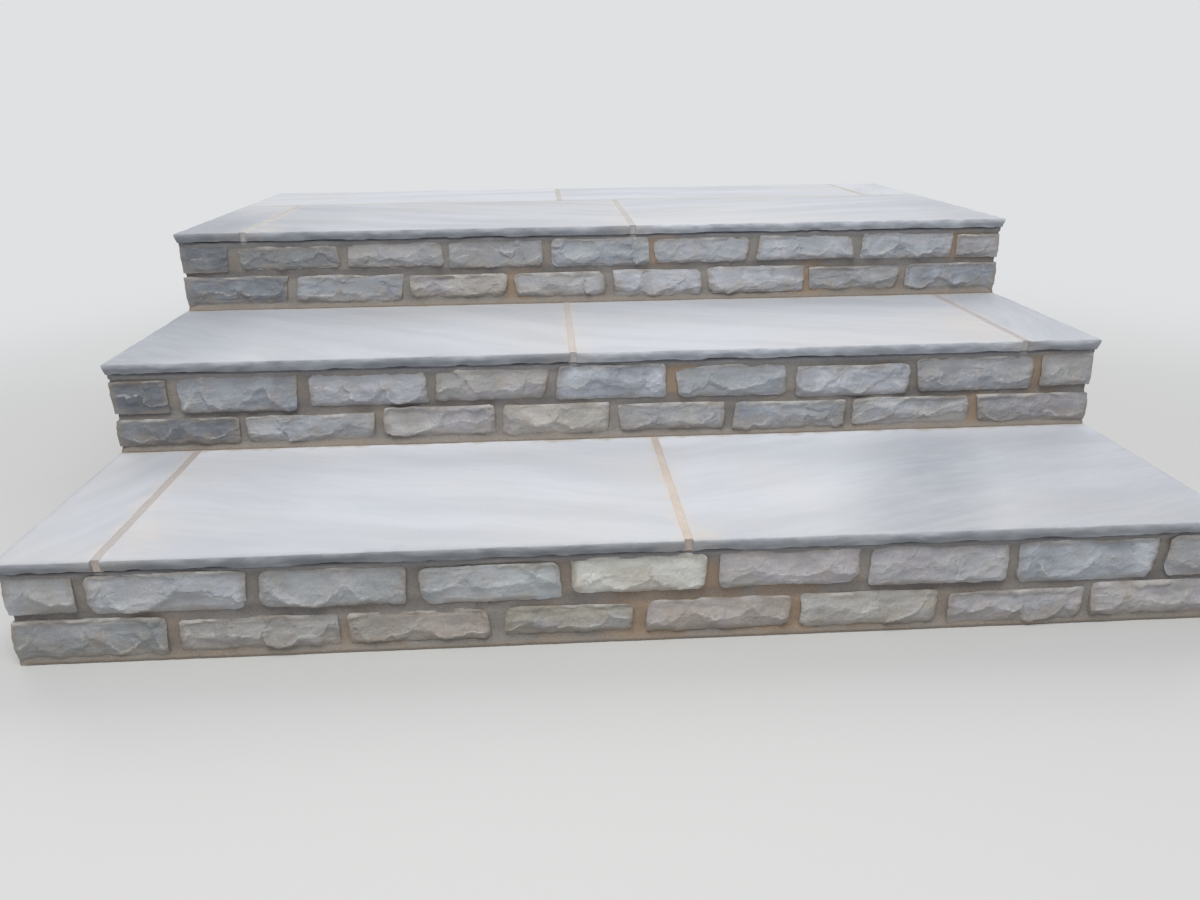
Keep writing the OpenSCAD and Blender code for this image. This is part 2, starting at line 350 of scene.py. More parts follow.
# Sand and cement mortar: coarse sharp sand in a tan paste, raked back while soft, so open and gritty
def mortarMaterial(name, light, dark, sandSize, upright=None, outer=None, rust=None, beds=()):
    material, add = newMaterial(name)
    place = add("TexCoord").outputs["Object"]
    cloud = add("TexNoise", place, 1 / mortarLook["clouds"], 5.0)
    paste = add("Mix RGBA", add("MapRange", cloud, 0.32, 0.68), light, dark)
    if outer:  # the outermost joints are greyer
        across = add("Math ABSOLUTE", add("SeparateXYZ", place).outputs["X"])
        paste = add("Mix RGBA", add("MapRange", across, 0.5, 0.7, 0.0, 0.85), paste, outer)
    if rust:  # iron in the sand, in patches
        rustMask = add("TexNoise", place, 1 / mortarLook["rustPatches"], 3.0)
        rustMask = add("MapRange SMOOTHSTEP", rustMask, 0.50, 0.68, 0.0, 0.6)
        nearGround = add("MapRange", add("SeparateXYZ", place).outputs["Z"], 0.05, 0.16, 1.0, 0.5)
        rustMask = add("Math MULTIPLY", rustMask, nearGround)
        for middle, radius in rustSpots:
            ragged = add("Math MULTIPLY_ADD", cloud, -radius, add("VectorMath DISTANCE", place, middle))
            spot = add("MapRange SMOOTHSTEP", ragged, 0.0, 0.7 * radius, 0.9, 0.0)
            rustMask = add("Math MAXIMUM", rustMask, spot)
        paste = add("Mix RGBA", rustMask, paste, rust)
    if beds:
        overStep = add("Math MODULO", add("SeparateXYZ", place).outputs["Z"], stoneLook["rise"])
    for colour, share, bottom, low, high, top in beds:
        foot = add("MapRange", overStep, bottom, low)
        head = add("MapRange", overStep, high, top, 1.0, 0.0)
        share = add("Math MULTIPLY", add("Math MULTIPLY", foot, head), share)
        paste = add("Mix RGBA", share, paste, colour)
    sand = add("TexVoronoi", place, 1 / sandSize)
    sandy = add("VectorMath SCALE", paste, add("MapRange", sand.outputs["Color"], 0.0, 1.0, 0.88, 1.12))
    if upright:  # ends that stand in the slabs' edges are weathered grey
        facing = add("SeparateXYZ", add("TexCoord").outputs["Normal"]).outputs["Z"]
        sandy = add("Mix RGBA", add("MapRange", facing, 0.2, 0.8), upright, sandy)
    lumps = add("TexNoise", place, 1 / mortarLook["lumps"], 4.0)
    finishMaterial(add, sandy, 0.92, 1.45, 0.2,
        (sand.outputs["Distance"], 0.8 * mm, 0.5), (lumps, 2.0 * mm, 0.6))
    return material


wallBeds = [  # colour, share, heights over each tread where it begins, is full, is still full and ends
    ("#8F8F93", 0.7, 0.144, 0.156, 0.160, 0.164),  # a greyer mix under the slabs
    ("#6C6A6C", 0.35, 0.064, 0.072, 0.086, 0.094),  # painted shade in the bed joint between the courses, under the upper stones
    ("#A49A8F", 0.7, -0.002, -0.001, 0.003, 0.014),  # sand off the treads, dried on each foot
]
wallMortar = mortarMaterial("raked sand and cement mortar", "#98948F", "#807C78", 2.2 * mm,
    rust="#9E8B78", beds=wallBeds)
beddingMortar = mortarMaterial("bedding mortar", "#9C938A", "#857E77", 2.4 * mm)
# Pointing mortar is finer, brushed in and struck smooth: peach when fresh, bleached and weathered higher up
pointings = {key: mortarMaterial(name + " pointing mortar", light, dark, 1.8 * mm, *greyer)
    for key, name, light, dark, *greyer in (  # its upright ends and the outermost joints are greyer
        ("step1", "fresh peach", "#D4C9C0", "#C9BDB3", "#C6BAB1", "#B5B1B1"),
        ("step2", "bleached peach", "#CEC8C5", "#C3BCB9", "#BCB8B6", "#B9B5B6"),
        ("upper", "weathered pale", "#C8C6C4", "#BDBBB9", "#B8B6B5"),
    )}
rubble = mortarMaterial("rubble and lean concrete fill", "#8A847C", "#6C6761", 9 * mm)  # rough and coarse
print("materials")

for name, node in frame["nodes"].items():  # what stays from the CAD model gets its own finish
    for slot in node.material_slots:
        if name.endswith("slab_bed"):
            slot.material = beddingMortar
        elif name.endswith("infill"):
            slot.material = rubble

# Walling stones
walling = {
    "length": 0.230, "height": 0.0635, "joint": 0.019, "baseBed": 0.0095, "bedJoint": 0.0145,
    "slabBed": 0.012, "slab": 0.022, "levellerLength": 0.265, "thickness": 0.106,
    "jointShift": 0.006, "jointSpread": 0.006, "heightShift": 0.0030,  # how uneven the stones are
    "lowest": -0.013, "lowestOnGround": -0.006,  # of a stone's foot, against the usual one
    "shade": 0.07,  # how much lighter each step of the figure after a tone's letter is
    "frontCell": 0.0030, "otherCell": 0.0048, "thinCell": 0.0044,  # mesh size on the faces
    "Wobble": 0.0024, "Corner min": 0.004, "Corner max": 0.020, "Slant": 0.0100,
    "Margin width": 0.010, "Margin depth": 0.0036, "Scoop width": 0.105, "Scoop depth": 0.0090,
    "Undercut": 0.0085, "Facet size": 0.044, "Facet depth": 0.0068, "Flake depth": 0.0020,
    "Grain depth": 0.0009, "Cushion": 0.0010, "Proud": 0.0060, "Proud limit": 0.0055,
    "Deepest": 0.0030, "Rim": 0.0036,  # how far the faces and their rims may fall back behind the wall's face
    "Corner face": 0.0022, "Corner return": 0.0022,  # how proud the square outer corners stand
}
stoneSizes = [name for name in walling if name[0].isupper()]  # for their Geometry Nodes tree
tones = {  # sandstone colours, each with the tones that lie beside it in one stone
    "g": ("#A7A9AD", "bsmn"), "b": ("#A1A6AE", "gdn"), "d": ("#898E96", "bg"), "n": ("#A2A7AA", "bgs"),
    "c": ("#BDBEBA", "ny"), "m": ("#A8A5AA", "gsb"), "s": ("#A8A7A6", "wgm"), "w": ("#A9A6A1", "sym"),
    "y": ("#ADA9A0", "wsg"), "p": ("#B4B7BE", "bgm"), "q": ("#A9A29D", "mws"),
}


def stoneBlank(name, hand, cell, height, length):
    # An uncut block: straight (hand 0), left corner (-1) or right corner (1). Its columns of points run round
    # it: left end from the back, face, right end to the back
    thick = walling["thickness"]
    rows, ring, across = max(4, round(height / cell)), round(thick / cell), round(length / cell)
    depths = [thick * k / ring for k in range(1, ring + 1)]

    def end(f, side):  # along, depth, which way it is cut in, which way its outline moves, to an edge, skin
        if hand == side:
            return [(f, d, (-side, 0, 0), (0, -smooth((d - 0.085) / 0.02), 1), min(d, thick - d), 1)
                for d in depths]
        return [(f, d, (0, 1, 0), (1, 0, 1), 0, skin)
            for d, skin in ((0.004, 1), (0.010, 1), (0.024, 0.6), (0.048, 0))]

    columns = end(0, -1)[::-1]
    for k in range(across + 1):
        f = k / across
        fromCorner = f if hand < 0 else 1 - f
        slide = smooth(fromCorner * length / 0.02) if hand else 1.0
        columns.append((f, 0, (-hand if fromCorner == 0 else 0, 1, 0), (slide, 0, 1), -1, 1))
    columns += end(1, 1)
    points = [(c, r / rows) for c in columns for r in range(rows + 1)]
    n, count = rows + 1, len(columns)
    last = (count - 1) * n
    faces = [(i * n + j, (i + 1) * n + j, (i + 1) * n + j + 1, i * n + j + 1)
        for i in range(count - 1) for j in range(rows)]
    faces.append([i * n + rows for i in range(count)])
    faces.append([i * n for i in reversed(range(count))])
    faces.append([last] + list(range(n)) + [last + j for j in range(rows, 0, -1)])
    mesh = bpy.data.meshes.new(name)
    mesh.from_pydata([(c[0] * length, c[1], z * height) for c, z in points], [], faces)
    storeOn(mesh, "local", "FLOAT_VECTOR", [(c[0], c[1], z) for c, z in points])
    for part, key in ((2, "push"), (3, "slide")):
        storeOn(mesh, key, "FLOAT_VECTOR", [c[part] for c, z in points])
    for part, key in ((4, "side"), (5, "skin")):
        storeOn(mesh, key, "FLOAT", [c[part] for c, z in points])
    storeOn(mesh, "hand", "FLOAT", [hand] * len(points))
    return bpy.data.objects.new(name, mesh)


def blankSet(name, height, length, cells):  # three blanks for each mesh size
    shelf = bpy.data.collections.new(name)
    for number, (cell, hand) in enumerate([(c, h) for c in cells for h in (0, -1, 1)]):
        shelf.objects.link(stoneBlank(f"{name}{number}", hand, cell, height, length))
    return shelf


def pitchedStones():
    # Cuts each stone from its blank: scars struck from its edges, facets between ridges, bruised edges
    inputs = {"Stones": "Geometry", "Blanks": "Collection", "Stone": "Material"}
    tree, add, given = newShape("Pitched stones", {**inputs, **dict.fromkeys(stoneSizes, "Float")})
    named = "GeometryNodeInputNamedAttribute"
    which = add(named, {"Name": "blank"}, data_type="INT")
    shelf = add("GeometryNodeCollectionInfo", {"Collection": given["Blanks"], "Separate Children": True,
        "Reset Children": True})
    laid = add("GeometryNodeInstanceOnPoints", {"Points": given["Stones"], "Instance": shelf,
        "Pick Instance": True, "Instance Index": which})
    real = add("GeometryNodeRealizeInstances", laid)
    local, size, push, slide, corner = [add(named, {"Name": name}, data_type="FLOAT_VECTOR")
        for name in ("local", "size", "push", "slide", "corner")]
    side, skin, seed, turn, hand, returnShift, returnLeast = [add(named, {"Name": name}, data_type="FLOAT")
        for name in ("side", "skin", "seed", "turn", "hand", "returnShift", "returnLeast")]
    base = add("VectorMath MULTIPLY", local, size)
    at = add("SeparateXYZ", base).outputs
    full = add("SeparateXYZ", size).outputs
    part = add("SeparateXYZ", local).outputs

    # distances to the edges of the face, and the way round the stone
    farX = add("Math SUBTRACT", full["X"], at["X"])
    nearX = add("Math MINIMUM", at["X"], farX)
    edgeX = add("Mix", add("Math LESS_THAN", side, -0.5), side, nearX)
    farZ = add("Math SUBTRACT", full["Z"], at["Z"])
    edgeZ = add("Math MINIMUM", at["Z"], farZ)
    rightward = add("Math SIGN", add("Math SUBTRACT", part["X"], 0.5))
    along = add("Math MULTIPLY_ADD", at["Y"], rightward, at["X"])
    slice = add("Math MULTIPLY", seed, 7.31)
    skinPlace = add("CombineXYZ", along, at["Z"], slice)
    sway = add("SeparateXYZ", drift(add, skinPlace, 21.0, 3.0, 0.55)).outputs  # waves 48 mm long
    swayAlong = add("Math MULTIPLY_ADD", sway["X"], 0.070, along)
    swayUp = add("Math MULTIPLY_ADD", sway["Y"], 0.034, at["Z"])
    swayDown = add("Math SUBTRACT", full["Z"], swayUp)

    # how near the outer corner of a corner stone, which is struck square
    fromCorner = add("Mix", add("Math LESS_THAN", hand, 0.0), farX, at["X"])
    fromCorner = add("Math ADD", fromCorner, at["Y"])
    uncornered = add("Math SUBTRACT", 1.0, add("Math MULTIPLY", hand, hand))
    square = add("MapRange SMOOTHSTEP", add("Math ADD", fromCorner, uncornered), 0.0, 0.035, 0.62, 0.0)
    unsquare = add("Math SUBTRACT", 1.0, square)

    # corners of the outline knocked off round
    rightHalf = add("Math GREATER_THAN", part["X"], 0.5)
    cornerNumber = add("Math MULTIPLY_ADD", add("Math GREATER_THAN", part["Z"], 0.5), 2.0, rightHalf)
    cornerSeed = add("Math MULTIPLY_ADD", seed, 13.7, cornerNumber)
    cornerLuck = add("TexWhiteNoise", cornerSeed, noise_dimensions="1D").outputs["Value"]
    cornerSquare = add("Math MULTIPLY", cornerLuck, cornerLuck)
    radius = add("MapRange", cornerSquare, 0.0, 1.0, given["Corner min"], given["Corner max"])
    insideX = add("Math MAXIMUM", add("Math SUBTRACT", radius, edgeX), 0.0)
    insideX = add("Math MULTIPLY", insideX, unsquare)
    insideZ = add("Math MAXIMUM", add("Math SUBTRACT", radius, edgeZ), 0.0)
    longer = add("Math MAXIMUM", insideX, insideZ)
    squareX = add("Math MULTIPLY_ADD", insideX, insideX, 1e-9)
    reach = add("Math SQRT", add("Math MULTIPLY_ADD", insideZ, insideZ, squareX))
    cut = add("Math SUBTRACT", 1.0, add("Math DIVIDE", longer, reach))
    cutX = add("Math MULTIPLY", insideX, cut)
    cutZ = add("Math MULTIPLY", insideZ, cut)
    inwardX = add("Math MULTIPLY", rightward, -1.0)
    inwardZ0 = add("Math SUBTRACT", 0.5, part["Z"])
    inwardZ = add("Math SIGN", inwardZ0)
    roundX = add("Math MULTIPLY", cutX, inwardX)
    rounding = add("CombineXYZ", roundX, cutX, add("Math MULTIPLY", cutZ, inwardZ))
    wobble = add("Math MULTIPLY", given["Wobble"], 4.0)
    wandered = add("VectorMath SCALE", drift(add, skinPlace, 34.0, 3.0, 0.6), wobble)  # 29 mm
    endSeed = add("Math MULTIPLY_ADD", seed, 17.9, rightHalf)
    endLuck = add("TexWhiteNoise", endSeed, noise_dimensions="1D").outputs["Value"]
    endLean = add("Math MULTIPLY", add("Math SUBTRACT", endLuck, 0.5), inwardZ0)
    endLean = add("Math MULTIPLY", endLean, add("MapRange", nearX, 0.0, 0.05, 2.0, 0.0))
    slanting = add("CombineXYZ", add("Math MULTIPLY", endLean, given["Slant"]))
    sliding = add("VectorMath ADD", add("VectorMath ADD", rounding, wandered), slanting)

    # bowls struck into the upper face: their lower rims hang in garlands, and below them the face falls back
    cellW = add("Math DIVIDE", swayAlong, given["Scoop width"])
    lowW = add("Math MULTIPLY_ADD", seed, 3.17, cellW)
    lowCell = add("TexVoronoi", lowW, 1.0, voronoi_dimensions="1D").outputs
    nextCell = add("TexVoronoi", lowW, 1.0, voronoi_dimensions="1D", feature="F2").outputs
    lowLuck = add("SeparateXYZ", lowCell["Color"]).outputs
    stoneLuck = add("TexWhiteNoise", slice, noise_dimensions="1D").outputs["Color"]
    stoneLuck = add("SeparateXYZ", stoneLuck).outputs
    lowSum = add("Math ADD", lowCell["Distance"], nextCell["Distance"])
    lowWide = add("Math MULTIPLY", add("Math DIVIDE", lowCell["Distance"], lowSum), 2.0)
    lowSquare = add("Math MULTIPLY", lowWide, lowWide)
    bowlMid = add("Math MULTIPLY", full["Z"], add("MapRange", stoneLuck["X"], 0.0, 1.0, 0.62, 0.98))
    rimLow = add("Math MULTIPLY", full["Z"], add("MapRange", lowLuck["X"], 0.0, 1.0, 0.06, 0.50))
    bowlHigh = add("Math SUBTRACT", bowlMid, rimLow)
    lowUp = add("Math DIVIDE", add("Math SUBTRACT", swayUp, bowlMid), bowlHigh)
    lowRadial = add("Math MULTIPLY_ADD", lowUp, lowUp, lowSquare)
    lowBowl = add("Math MAXIMUM", add("Math SUBTRACT", 1.0, lowRadial), 0.0)
    lowScar = add("Math MULTIPLY", lowBowl, add("MapRange", lowLuck["Y"], 0.0, 1.0, 0.3, 1.1))
    lowScar = add("Math MULTIPLY", lowScar, given["Scoop depth"])
    rimArc = add("Math MAXIMUM", add("Math SUBTRACT", 1.0, lowSquare), 0.0)
    rimDrop = add("Math MULTIPLY", add("Math SQRT", rimArc), bowlHigh)
    underShare = add("Math DIVIDE", swayUp, add("Math SUBTRACT", bowlMid, rimDrop))
    underShare = add("Clamp", add("Math SUBTRACT", 1.0, underShare))
    underDeep = add("MapRange", stoneLuck["Y"], 0.0, 1.0, 0.55, 1.15)
    under = add("Math MULTIPLY", underShare, add("Math MULTIPLY", underDeep, given["Undercut"]))

    # shallower ones struck down from the upper edge
    highW = add("Math MULTIPLY_ADD", seed, 5.83, cellW)
    highCell = add("TexVoronoi", highW, 0.8, voronoi_dimensions="1D").outputs
    highLuck = add("SeparateXYZ", highCell["Color"]).outputs
    highReach = add("Math MULTIPLY", full["Z"], add("MapRange", highLuck["X"], 0.0, 1.0, 0.16, 0.56))
    highUp = add("Math DIVIDE", swayDown, highReach)
    highUp = add("Math MULTIPLY", highUp, highUp)
    highWide = add("Math MULTIPLY", highCell["Distance"], 1.9)
    highBowl = add("Math SUBTRACT", 1.0, add("Math MULTIPLY_ADD", highWide, highWide, highUp))
    highBowl = add("Math MAXIMUM", highBowl, 0.0)
    highScar = add("Math MULTIPLY", highBowl, add("MapRange", highLuck["Y"], 0.0, 1.0, 0.2, 0.85))
    highScar = add("Math MULTIPLY", highScar, given["Scoop depth"])

    # hollow facets that meet in ridges, longer than they are high
    facetPlace = add("CombineXYZ", add("Math MULTIPLY", swayAlong, 0.42), swayUp, slice)
    facetScale = add("Math DIVIDE", 1.0, given["Facet size"])
    facet = add("TexVoronoi", facetPlace, facetScale).outputs
    facetLine = add("TexVoronoi", facetPlace, facetScale, feature="DISTANCE_TO_EDGE").outputs
    facetBowl = add("Math MULTIPLY", facet["Distance"], facet["Distance"])
    facetLuck = add("SeparateXYZ", facet["Color"]).outputs
    facetDeep = add("MapRange", facetLuck["X"], 0.0, 1.0, 0.35, 1.2)
    facetCut = add("Math MULTIPLY", add("MapRange", facetBowl, 0.0, 0.62, 1.0, 0.0), facetDeep)
    facetPlain = add("MapRange", stoneLuck["Z"], 0.0, 1.0, 0.45, 1.15)
    facetCut = add("Math MULTIPLY", facetCut, add("Math MULTIPLY", facetPlain, given["Facet depth"]))
    flakeScale = add("Math MULTIPLY", facetScale, 2.9)
    flake = add("TexVoronoi", facetPlace, flakeScale).outputs
    flakeBowl = add("Math MULTIPLY", flake["Distance"], flake["Distance"])
    flakeCut = add("MapRange", flakeBowl, 0.0, 0.62, given["Flake depth"], 0.0)
    grainShift = add("Math SUBTRACT", add("TexNoise", skinPlace, 110.0, 4.0, 0.65), 0.5)  # 9 mm
    grainTwice = add("Math MULTIPLY", grainShift, 4.0)

    # bruised margin, the cushion shape, a slight lean
    soft = add("Math SMOOTH_MIN", edgeX, edgeZ, 0.008)
    marginPlace = add("Math MULTIPLY_ADD", sway["Z"], 0.022, soft)
    marginShare = add("MapRange", marginPlace, 0.0, given["Margin width"], 1.0, 0.0)
    marginCut = add("Math MULTIPLY", marginShare, marginShare)
    middle = add("MapRange", part["Z"], 0.0, 1.0, -1.0, 1.0)
    middle = add("Math MULTIPLY", middle, middle)
    leanLuck = add("TexWhiteNoise", seed, noise_dimensions="1D").outputs["Value"]
    lean = add("MapRange", leanLuck, 0.0, 1.0, -0.004, 0.009)
    leaning = add("Math SUBTRACT", part["Z"], 0.45)
    relief = add("Math ADD", add("Math ADD", lowScar, highScar), facetCut)
    inward = add("MapRange SMOOTHSTEP", soft, 0.0, 0.013, 0.35, 1.0)
    total = add("Math MULTIPLY_ADD", leaning, lean, add("Math MULTIPLY_ADD", relief, inward, flakeCut))
    total = add("Math MULTIPLY_ADD", grainTwice, given["Grain depth"], add("Math ADD", total, under))
    total = add("Math MULTIPLY_ADD", marginCut, given["Margin depth"], total)
    total = add("Math MULTIPLY_ADD", middle, given["Cushion"], total)
    total = add("Math SUBTRACT", total, given["Proud"])
    leastCut = add("Math MULTIPLY", given["Proud limit"], -1.0)
    most = add("MapRange", soft, 0.0, 0.010, given["Rim"], given["Deepest"])
    total = add("Clamp", add("Math SMOOTH_MIN", total, most, 0.003), leastCut, 0.016)

    # where a scar reaches an edge, the edge is chipped too
    nearBottom = add("MapRange", at["Z"], 0.0, 0.016, 0.55, 0.0)
    nearTop = add("MapRange", farZ, 0.0, 0.016, -0.40, 0.0)
    chip = add("Math MULTIPLY_ADD", highScar, nearTop, add("Math MULTIPLY", flakeCut, nearBottom))
    sliding = add("VectorMath ADD", sliding, add("CombineXYZ", 0.0, 0.0, chip))
    faceCut = add("Mix", square, total, add("Math MULTIPLY", given["Corner face"], -1.0))
    cutBack = add("Math MULTIPLY", faceCut, skin)
    shaped = add("VectorMath MULTIPLY_ADD", sliding, slide, base)
    cornerReturn = add("Math MULTIPLY", given["Corner return"], -1.0)
    cutReturn = add("Mix", square, add("Math ADD", total, returnShift), cornerReturn)
    cutBoth = add("CombineXYZ", add("Math MAXIMUM", cutReturn, returnLeast), cutBack, 0.0)
    shaped = add("VectorMath ADD", shaped, add("VectorMath MULTIPLY", push, cutBoth))
    turned = add("VectorRotate", {"Vector": shaped, "Angle": turn}, rotation_type="Z_AXIS")
    placed = add("VectorMath ADD", turned, corner)

    # bruised ridges stay paler: along the facets' borders and round the scars, broken up by noise; a painted
    # highlight runs along each stone's top edge
    lineA = add("MapRange", facetLine["Distance"], 0.0, 0.055, 1.0, 0.0)
    lineB = add("Math ABSOLUTE", add("Math SUBTRACT", lowRadial, 1.0))
    lineB = add("MapRange", lineB, 0.0, 0.115, 1.0, 0.0)
    lineB = add("Math MULTIPLY", lineB, add("Math LESS_THAN", lowUp, 0.0))
    lineB = add("Math MULTIPLY", lineB, add("MapRange", lowWide, 0.62, 0.95, 1.0, 0.12))
    patches = add("TexNoise", skinPlace, 27.0, 2.0)  # 37 mm
    patchA = add("MapRange", patches, 0.56, 0.68, 0.0, 0.16)
    patchB = add("MapRange", patches, 0.60, 0.44)
    lineA = add("Math MULTIPLY", lineA, patchA)
    ridge = add("Math MAXIMUM", lineA, add("Math MULTIPLY", lineB, patchB))
    ridge = add("Math MULTIPLY", ridge, add("MapRange", soft, 0.001, 0.007))
    # painted highlight: a pale line along the top edge, where light from above catches it
    paintedTopHighlight = add("MapRange", farZ, 0.001, 0.0065, 0.9, 0.0)
    paintedTopHighlight = add("Math MULTIPLY", paintedTopHighlight, add("MapRange", sway["X"], -0.04, 0.10))
    ridge = add("Math MAXIMUM", ridge, paintedTopHighlight)
    # painted shade: how deep the face is cut, which darkens it in the material
    hollow = add("MapRange", total, -0.004, 0.016)

    # what the material reads is stored before the points move
    smearEdge = add("MapRange", marginPlace, 0.0, 0.015, 0.95, 0.0)
    smear = add("Math MULTIPLY", smearEdge, add("MapRange", sway["Z"], -0.14, 0.10))
    stored = real
    shades = {"ridge": ridge, "hollow": hollow, "smear": smear, "facetShade": facetLuck["Y"]}
    for name, value in shades.items():
        stored = add("GeometryNodeStoreNamedAttribute", {"Geometry": stored, "Name": name, "Value": value},
            data_type="FLOAT", domain="POINT")
    moved = add("GeometryNodeSetPosition", {"Geometry": stored, "Position": placed})
    bend = add("GeometryNodeInputMeshEdgeAngle").outputs["Unsigned Angle"]
    sharp = add("Math GREATER_THAN", bend, 0.85)
    creased = add("GeometryNodeStoreNamedAttribute",
        {"Geometry": moved, "Name": "sharp_edge", "Value": sharp}, data_type="BOOLEAN", domain="EDGE")
    whole = add("GeometryNodeRealizeInstances", creased)
    add("NodeGroupOutput", add("GeometryNodeSetMaterial", {"Geometry": whole, "Material": given["Stone"]}))
    return tree


def grow(piece, tree, values):  # runs a Geometry Nodes tree on a piece and keeps the result as its plain mesh
    sockets = {s.name: s.identifier for s in tree.interface.items_tree if s.in_out == "INPUT"}
    modifier = piece.modifiers.new("grow", "NODES")
    modifier.node_group = tree
    for name, value in values.items():
        modifier[sockets[name]] = value
    evaluated = piece.evaluated_get(bpy.context.evaluated_depsgraph_get())
    mesh = bpy.data.meshes.new_from_object(evaluated)
    piece.modifiers.remove(modifier)
    seedMesh = piece.data
    piece.data = mesh
    bpy.data.meshes.remove(seedMesh)
    return piece


def cutCourse(length, closed, usual, luck, spread, joints):
    # Left and right ends of the stones of a course, evenly cut unless its joints are given
    gap = walling["joint"]
    count = max(1, round((length + (gap if closed else -gap)) / (usual + gap)))
    each = (length - (count - 1 if closed else count + 1) * gap) / count
    first = each + gap / 2 if closed else gap / 2
    middles = joints or [first + i * (each + gap) + luck.uniform(-1, 1) * walling["jointShift"] * spread
        for i in range(count - 1 if closed else count + 1)]
    halves = [(gap + luck.uniform(-1, 1) * walling["jointSpread"] * spread) / 2 for m in middles]
    if not closed and not joints:
        middles[0], middles[-1] = gap / 2, length - gap / 2
    lefts = [m + h for m, h in zip(middles, halves)]
    rights = [m - h for m, h in zip(middles, halves)]
    if closed:
        lefts, rights = [0] + lefts, rights + [length]
    else:
        lefts, rights = lefts[:-1], rights[1:]
    return list(zip(lefts, rights))


returnForms = {  # how far a corner stone's end is cut back compared with its face, and its least cut
    "atFront": (-0.0036, -0.0118), "ofFront": (0.0030, -0.0050), "plain": (0.0, -0.0050),
}
stoneMarks = {  # what each stone's point carries
    "corner": "FLOAT_VECTOR", "size": "FLOAT_VECTOR", "turn": "FLOAT", "seed": "FLOAT", "blank": "INT",
    "tint": "FLOAT_COLOR", "otherTint": "FLOAT_COLOR", "returnShift": "FLOAT", "returnLeast": "FLOAT",
}


def layWall(name, nodes, courses, shelf, material, seed, slot="walling_stone", **changes):
    # Lays courses of stones. Those marked fine are seen in the photo, so their tone, top and foot are given
    luck = random.Random(seed)
    rows = []
    for course in courses:
        closed, tall, fine = course["closed"], course["height"], course.get("fine", "")
        onGround = course["start"][2] < 0.02
        inset = 0 if closed else walling["thickness"]
        spread = 0.4 if tall < 0.03 else 1.0  # thin offcuts vary less
        joints = [j * mm + course["length"] / 2 - inset for j in course.get("joints", ())]
        ends = cutCourse(course["length"] - 2 * inset, closed, course["usual"], luck, spread, joints)
        for i, (a, b) in enumerate(ends):
            first, last = i == 0, i == len(ends) - 1
            blank = 2 if closed and last else 1 if closed and first else 0
            detailed = fine == "all" or (fine == "first" and first) or (fine == "last" and last)
            pick = i if fine == "all" else 0
            flex = walling["heightShift"] * spread
            low, high = luck.uniform(-flex, flex), luck.uniform(-flex, flex)
            low = abs(low) if onGround else low
            if detailed:
                least = walling["lowestOnGround" if onGround else "lowest"]
                low = max(low + course["feet"][pick] * mm, least)
                high += course["tops"][pick] * mm
            offset = Matrix.Rotation(course["turn"], 3, "Z") @ Vector((a + inset, 0, low))
            tone = luck.choice("ggbbdnncmmsswyp") + luck.choice("456")
            if detailed:
                tone = course["tones"][2 * pick:2 * pick + 2]
            shade = 1 + walling["shade"] * (int(tone[1]) - 5)
            both = tone[0] + luck.choice(tones[tone[0]][1])
            tint, otherTint = [[*(c * shade for c in hexColour(tones[letter][0])[:3]), 1] for letter in both]
            form = "plain" if not detailed else "ofFront" if fine == "all" else "atFront"
            returnShift, returnLeast = returnForms[form]
            rows.append({
                "corner": Vector(course["start"]) + offset, "size": (b - a, 1, tall + high - low),
                "turn": course["turn"], "seed": luck.uniform(0, 60), "blank": blank + (0 if detailed else 3),
                "returnShift": returnShift, "returnLeast": returnLeast, "tint": tint, "otherTint": otherTint,
            })
    mesh = bpy.data.meshes.new(name)
    mesh.from_pydata([(0, 0, 0)] * len(rows), [], [])
    for key, kind in stoneMarks.items():
        storeOn(mesh, key, kind, [r[key] for r in rows])
    piece = linked(name, mesh)
    values = {n: changes.get(n, walling[n]) for n in stoneSizes}
    grow(piece, stoneTree, {**values, "Blanks": shelf, "Stone": material})
    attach(piece, "root")
    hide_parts(*nodes)


stoneTree = pitchedStones()
cells = (walling["frontCell"], walling["otherCell"])
stoneShelf = blankSet("walling blank", walling["height"], walling["length"], cells)
thinShelf = blankSet("levelling blank", walling["slab"], walling["levellerLength"], [walling["thinCell"]] * 2)
rightTurn, leftTurn, backTurn = math.pi / 2, -math.pi / 2, math.pi
upper = walling["baseBed"] + walling["height"] + walling["bedJoint"]  # foot of the second course
